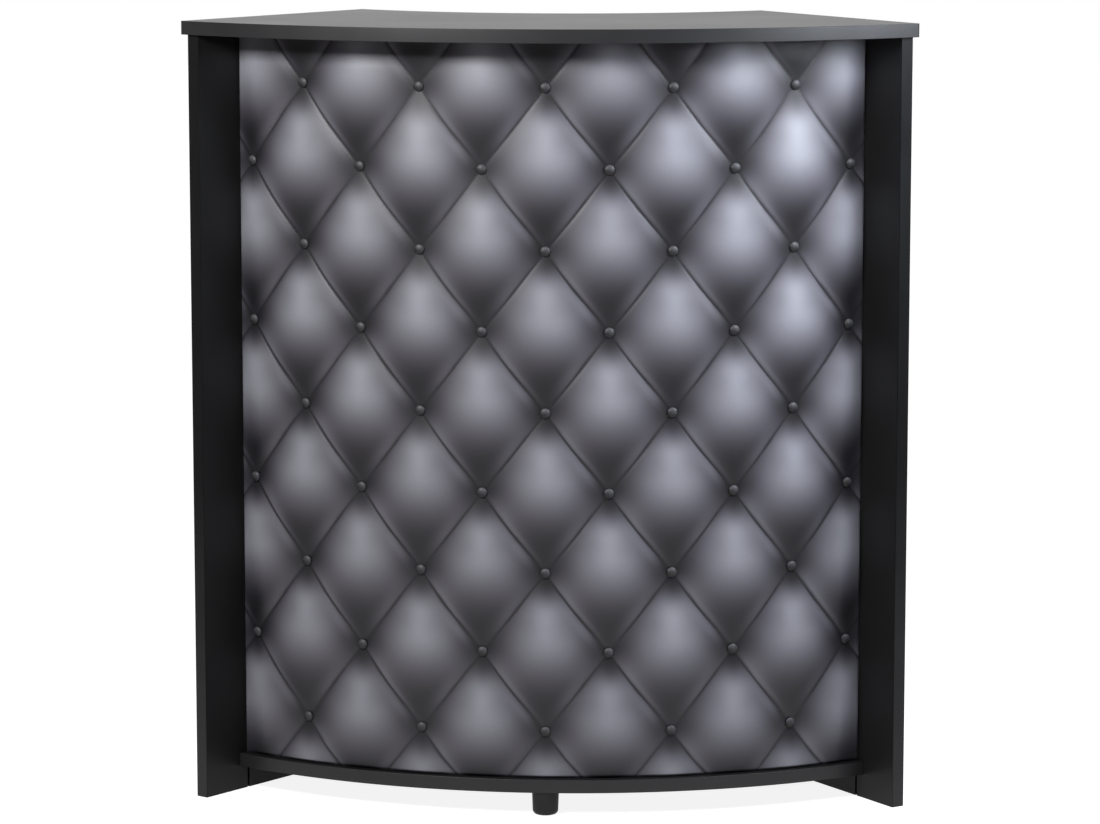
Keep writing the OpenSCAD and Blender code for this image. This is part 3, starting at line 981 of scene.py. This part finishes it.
def add_button(shape, spots, u, w):
    angle = u / SKIN_R
    outward = Vector((math.sin(angle), -math.cos(angle), 0))
    sideways = Vector((math.cos(angle), math.sin(angle), 0))
    centre = Vector((SKIN_R * math.sin(angle), ARC_Y - SKIN_R * math.cos(angle), SKIN_MID_Z + w))
    centre += outward * BUTTON_SEAT
    rings = [add_ring(shape, spots, centre, sideways, outward * height, radius)
             for radius, height in button_profile()]
    tip = shape.verts.new(centre + outward * BUTTON_H)
    spots[tip] = (0, 0)
    for lower, upper in zip(rings, rings[1:]):
        for s in range(BUTTON_SIDES):
            t = (s + 1) % BUTTON_SIDES
            shape.faces.new((lower[s], lower[t], upper[t], upper[s]))
    for s in range(BUTTON_SIDES):
        shape.faces.new((rings[-1][s], rings[-1][(s + 1) % BUTTON_SIDES], tip))
    shape.faces.new(rings[0][::-1])


print("points in a button:", BUTTON_SIDES * len(button_profile()) + 1)

# %% Make all buttons
def make_buttons():
    shape = bmesh.new()
    spots = {}
    for u, w in button_places():
        add_button(shape, spots, u, w)
    disc = shape.loops.layers.uv.new(DISC)
    for face in shape.faces:
        face.smooth = True
        for corner in face.loops:
            corner[disc].uv = spots[corner.vert]
    bmesh.ops.recalc_face_normals(shape, faces=shape.faces)
    mesh = bpy.data.meshes.new("tuft_buttons_covered")
    shape.to_mesh(mesh)
    shape.free()
    return mesh


buttons = put_in_scene("tuft_buttons_covered", make_buttons())
buttons.data.materials.append(FINISHES["covered_button"])
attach(buttons, "cabinet")
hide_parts("tuft_buttons")
print("buttons:", len(buttons.data.polygons), "faces")

# %% [markdown]
# ## The stud's thread
# Only the foot's lower part shows, but the counter is also looked at taken apart, and a smooth pin
# wouldn't pass for a screw. The thread is a ridge that climbs one pitch each turn. It could be a
# swept profile, but a grid wrapped round the axis, with the radius dropping between the ridges, draws
# the whole stud in one closed mesh.

# %% Shape of the thread
THREAD_PITCH = 1.25 * MM
THREAD_DEPTH = 0.75 * MM
THREAD_FLAT = 0.1
END_CHAMFER = 1 * MM

stud_low, stud_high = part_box("foot_stud")
STUD_R = (stud_high.x - stud_low.x) / 2
STUD_Y = (stud_low.y + stud_high.y) / 2
STUD_LENGTH = stud_high.z - stud_low.z


def stud_radius(height, turn):
    """Full on the ridge, the thread's depth less in the groove, and chamfered at the upper end."""
    climb = (height - stud_low.z) / THREAD_PITCH - turn / (2 * math.pi)
    off_ridge = 1 - abs(2 * (climb - math.floor(climb)) - 1)
    cut = min(1, max(0, (off_ridge - THREAD_FLAT) / (1 - 2 * THREAD_FLAT)))
    chamfer = max(0, END_CHAMFER - (stud_high.z - height))
    return STUD_R - max(THREAD_DEPTH * cut, chamfer)


print(f"stud {2 * STUD_R / MM:.0f} mm thick, {STUD_LENGTH / MM:.0f} mm long, pitch {THREAD_PITCH / MM} mm")

# %% Make the threaded stud
THREAD_LEVELS = 8
THREAD_SIDES = 24


def stud_points(levels):
    points = []
    for level in range(levels + 1):
        height = stud_low.z + STUD_LENGTH * level / levels
        for s in range(THREAD_SIDES):
            turn = 2 * math.pi * s / THREAD_SIDES
            radius = stud_radius(height, turn)
            points.append((radius * math.cos(turn), STUD_Y + radius * math.sin(turn), height))
    return points


def stud_faces(levels):
    faces = []
    for level in range(levels):
        for s in range(THREAD_SIDES):
            here = level * THREAD_SIDES + s
            there = level * THREAD_SIDES + (s + 1) % THREAD_SIDES
            faces.append((here, there, there + THREAD_SIDES, here + THREAD_SIDES))
    faces.append(tuple(range(THREAD_SIDES))[::-1])
    faces.append(tuple(levels * THREAD_SIDES + s for s in range(THREAD_SIDES)))
    return faces


def make_stud():
    levels = round(STUD_LENGTH / THREAD_PITCH * THREAD_LEVELS)
    mesh = bpy.data.meshes.new("foot_stud_threaded")
    mesh.from_pydata(stud_points(levels), [], stud_faces(levels))
    return mesh


stud = put_in_scene("foot_stud_threaded", make_stud())
stud.data.materials.append(FINISHES["plated_steel"])
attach(stud, "foot_screw")
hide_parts("foot_stud")
print("stud:", len(stud.data.polygons), "faces")

# %% [markdown]
# ## The floor
# The counter stands on a pale floor. Looking from the camera, the floor gets a little extra white of
# its own, so that it joins the background, and the soft shadow under the counter stays. More light
# would do that too, but it would pale the black boards. Round the counter the floor also glows for
# reflections only, as a bright sheet of paper would: a painted reflection that lifts the lowest parts
# of the black strips.

# %% Floor
FLOOR_HALF = 14.0
FLOOR_PAINT = (0.38, 0.36, 0.35)
FLOOR_LIFT = 0.88
PAINTED_REFLECTION_EDGE = (0.5, 1.5)
PAINTED_REFLECTION_GLOW = 0.5


def floor_finish():
    material, shader = new_finish("pale_floor", 0.9, FLOOR_PAINT, specular=0.0)
    tree = material.node_tree
    shader.inputs["Emission Color"].default_value = WHITE
    rays = tree.nodes.new("ShaderNodeLightPath")
    lift = calc(tree, "MULTIPLY", rays.outputs["Is Camera Ray"], FLOOR_LIFT)
    off_middle = add(tree, "ShaderNodeVectorMath", outlet="Value", settings={"operation": "LENGTH"},
                     Vector=place_of(tree))
    # painted reflection: round the counter the floor glows for glossy rays only
    glow = calc(tree, "MULTIPLY", rays.outputs["Is Glossy Ray"],
                spread(tree, off_middle, *PAINTED_REFLECTION_EDGE, PAINTED_REFLECTION_GLOW, 0))
    feed(tree, shader.inputs["Emission Strength"], calc(tree, "ADD", lift, glow))
    return material


def make_floor():
    mesh = bpy.data.meshes.new("floor")
    corners = [(-FLOOR_HALF, -FLOOR_HALF, 0), (FLOOR_HALF, -FLOOR_HALF, 0),
               (FLOOR_HALF, FLOOR_HALF, 0), (-FLOOR_HALF, FLOOR_HALF, 0)]
    mesh.from_pydata(corners, [], [(0, 1, 2, 3)])
    floor = put_in_scene("floor", mesh)
    mesh.materials.append(floor_finish())
    return floor


floor = make_floor()
print("floor:", 2 * FLOOR_HALF, "m wide, in", floor.data.materials[0].name)

# %% [markdown]
# ## The room
# Behind the counter hangs white paper, and behind the camera the room is darker. The camera sees the
# world as plain white. Every other ray sees the paper behind the counter, which lays the grey sheen
# on the top, and the dim room in front of it, which keeps the black boards black. An even white world
# would be simpler, but it would turn all the black to grey.

# %% World
PAPER = 1.15
ROOM = 0.10
ROOM_ENDS = -0.1
PAPER_STARTS = 0.5


def make_world():
    world = bpy.data.worlds.new("paper_and_room")
    bpy.context.scene.world = world
    world.use_nodes = True
    tree = world.node_tree
    direction = xyz_of(tree, add(tree, "ShaderNodeTexCoord", outlet="Generated"))
    around = spread(tree, direction["Y"], ROOM_ENDS, PAPER_STARTS, ROOM, PAPER)
    seen = add(tree, "ShaderNodeLightPath", outlet="Is Camera Ray")
    white = calc(tree, "MULTIPLY", seen, calc(tree, "SUBTRACT", 1.0, around))
    background = tree.nodes["Background"]
    background.inputs["Color"].default_value = WHITE
    feed(tree, background.inputs["Strength"], calc(tree, "ADD", around, white))
    return world


world = make_world()
print("world:", world.name, "with the paper at", PAPER, "and the room at", ROOM)

# %% [markdown]
# ## The softboxes
# The sheen on the top's curved edge tells where the lamps stood: it has a faint maximum left of the
# middle and a stronger one near the right end. A convex edge mirrors each direction only once, so
# these two places give the two bearings. The left box is wide and flat and hangs only half a metre
# above the top, which makes the narrow, crisp shadow under the overhang. The right box stands close
# beside the counter, so the tufts near it shine most. It is made as two lamps side by side, of which
# only the one in front shows in gloss.

# %% Lamps
RIGHT_BOX = {"distance": 1.05, "height": 1.22, "size": (0.6, 0.4), "colour": (0.93, 0.99, 1.08),
             "aim_height": 0.45}


def soft_lamp(name, bearing, distance, height, size, watts, colour, aim_height, in_gloss=True):
    """A softbox at a bearing from the front, in degrees to the right, facing the counter."""
    data = bpy.data.lights.new(name, "AREA")
    data.shape = "RECTANGLE"
    data.size, data.size_y = size
    data.energy = watts
    data.color = colour
    lamp = put_in_scene(name, data)
    turn = math.radians(bearing)
    lamp.location = (distance * math.sin(turn), -distance * math.cos(turn), height)
    aim = Vector((0, 0, aim_height)) - lamp.location
    lamp.rotation_euler = aim.to_track_quat("-Z", "Y").to_euler()
    lamp.visible_camera = False
    lamp.visible_glossy = in_gloss
    return lamp


soft_lamp("front_left_box", bearing=-30, distance=1.65, height=1.53, size=(0.9, 0.3), watts=27.6,
          colour=(0.995, 1.0, 1.015), aim_height=0.5)
right_box = soft_lamp("right_box", bearing=62, watts=9.8, **RIGHT_BOX)
soft_lamp("right_fill", bearing=74, watts=6.8, in_gloss=False, **RIGHT_BOX)

# %% [markdown]
# A box that close would mirror in the top for anyone behind the counter, and burn a white patch into
# it. A weaker lamp would dim the tufts too. Light linking is the finer tool: it lets a lamp leave out
# one piece, here the board of the top, and light all the others as before.

# %% Keep the right box off the top
def keep_off(lamp, piece):
    """Lets a lamp light everything but one piece."""
    spared = bpy.data.collections.new("spared_by_" + lamp.name)
    spared.objects.link(piece)
    lamp.light_linking.receiver_collection = spared
    spared.collection_objects[0].light_linking.link_state = "EXCLUDE"
    return spared


spared_pieces = keep_off(right_box, frame["nodes"]["top_board"])

# %% [markdown]
# ## Last settings
# Standard view keeps a colour as it is written.

# %% Set the view
bpy.context.scene.view_settings.view_transform = "Standard"
